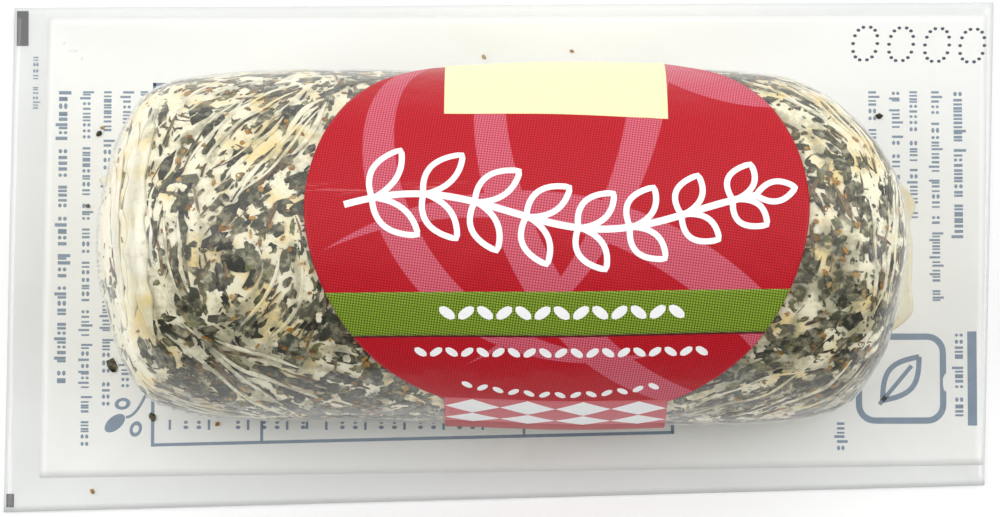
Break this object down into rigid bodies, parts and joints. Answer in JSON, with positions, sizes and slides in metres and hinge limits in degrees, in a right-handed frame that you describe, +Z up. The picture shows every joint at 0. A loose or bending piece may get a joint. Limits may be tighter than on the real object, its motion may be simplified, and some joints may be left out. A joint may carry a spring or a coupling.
{
  "type": "packed goat cheese log",
  "caption": "Small log of fresh goat cheese coated with dried herbs, sealed in clear film on a flat printed film, with a printed label wrapped over its top.",
  "frame": {"origin": "centre of the pack's outline, at the underside of the flat film that it lies on", "axes": "+X along the log, +Y across it towards the label's yellow panel, +Z up out of the label"},
  "size_m": [0.118, 0.061, 0.0372],
  "materials": {
    "cheese": "soft fresh goat cheese, ivory, coated with flakes of dried herbs",
    "clear_film": "clear thermoformed film, glossy and finely creased",
    "printed_film": "flat film with a white printed field and slate blue marks",
    "label_film": "glossy printed label film in crimson with a green band and a pale yellow panel"
  },
  "bodies": {
    "root": {"cheese_log": "cheese", "formed_film": "clear_film", "lidding_film": "printed_film", "label": "label_film"}
  },
  "joints": []
}
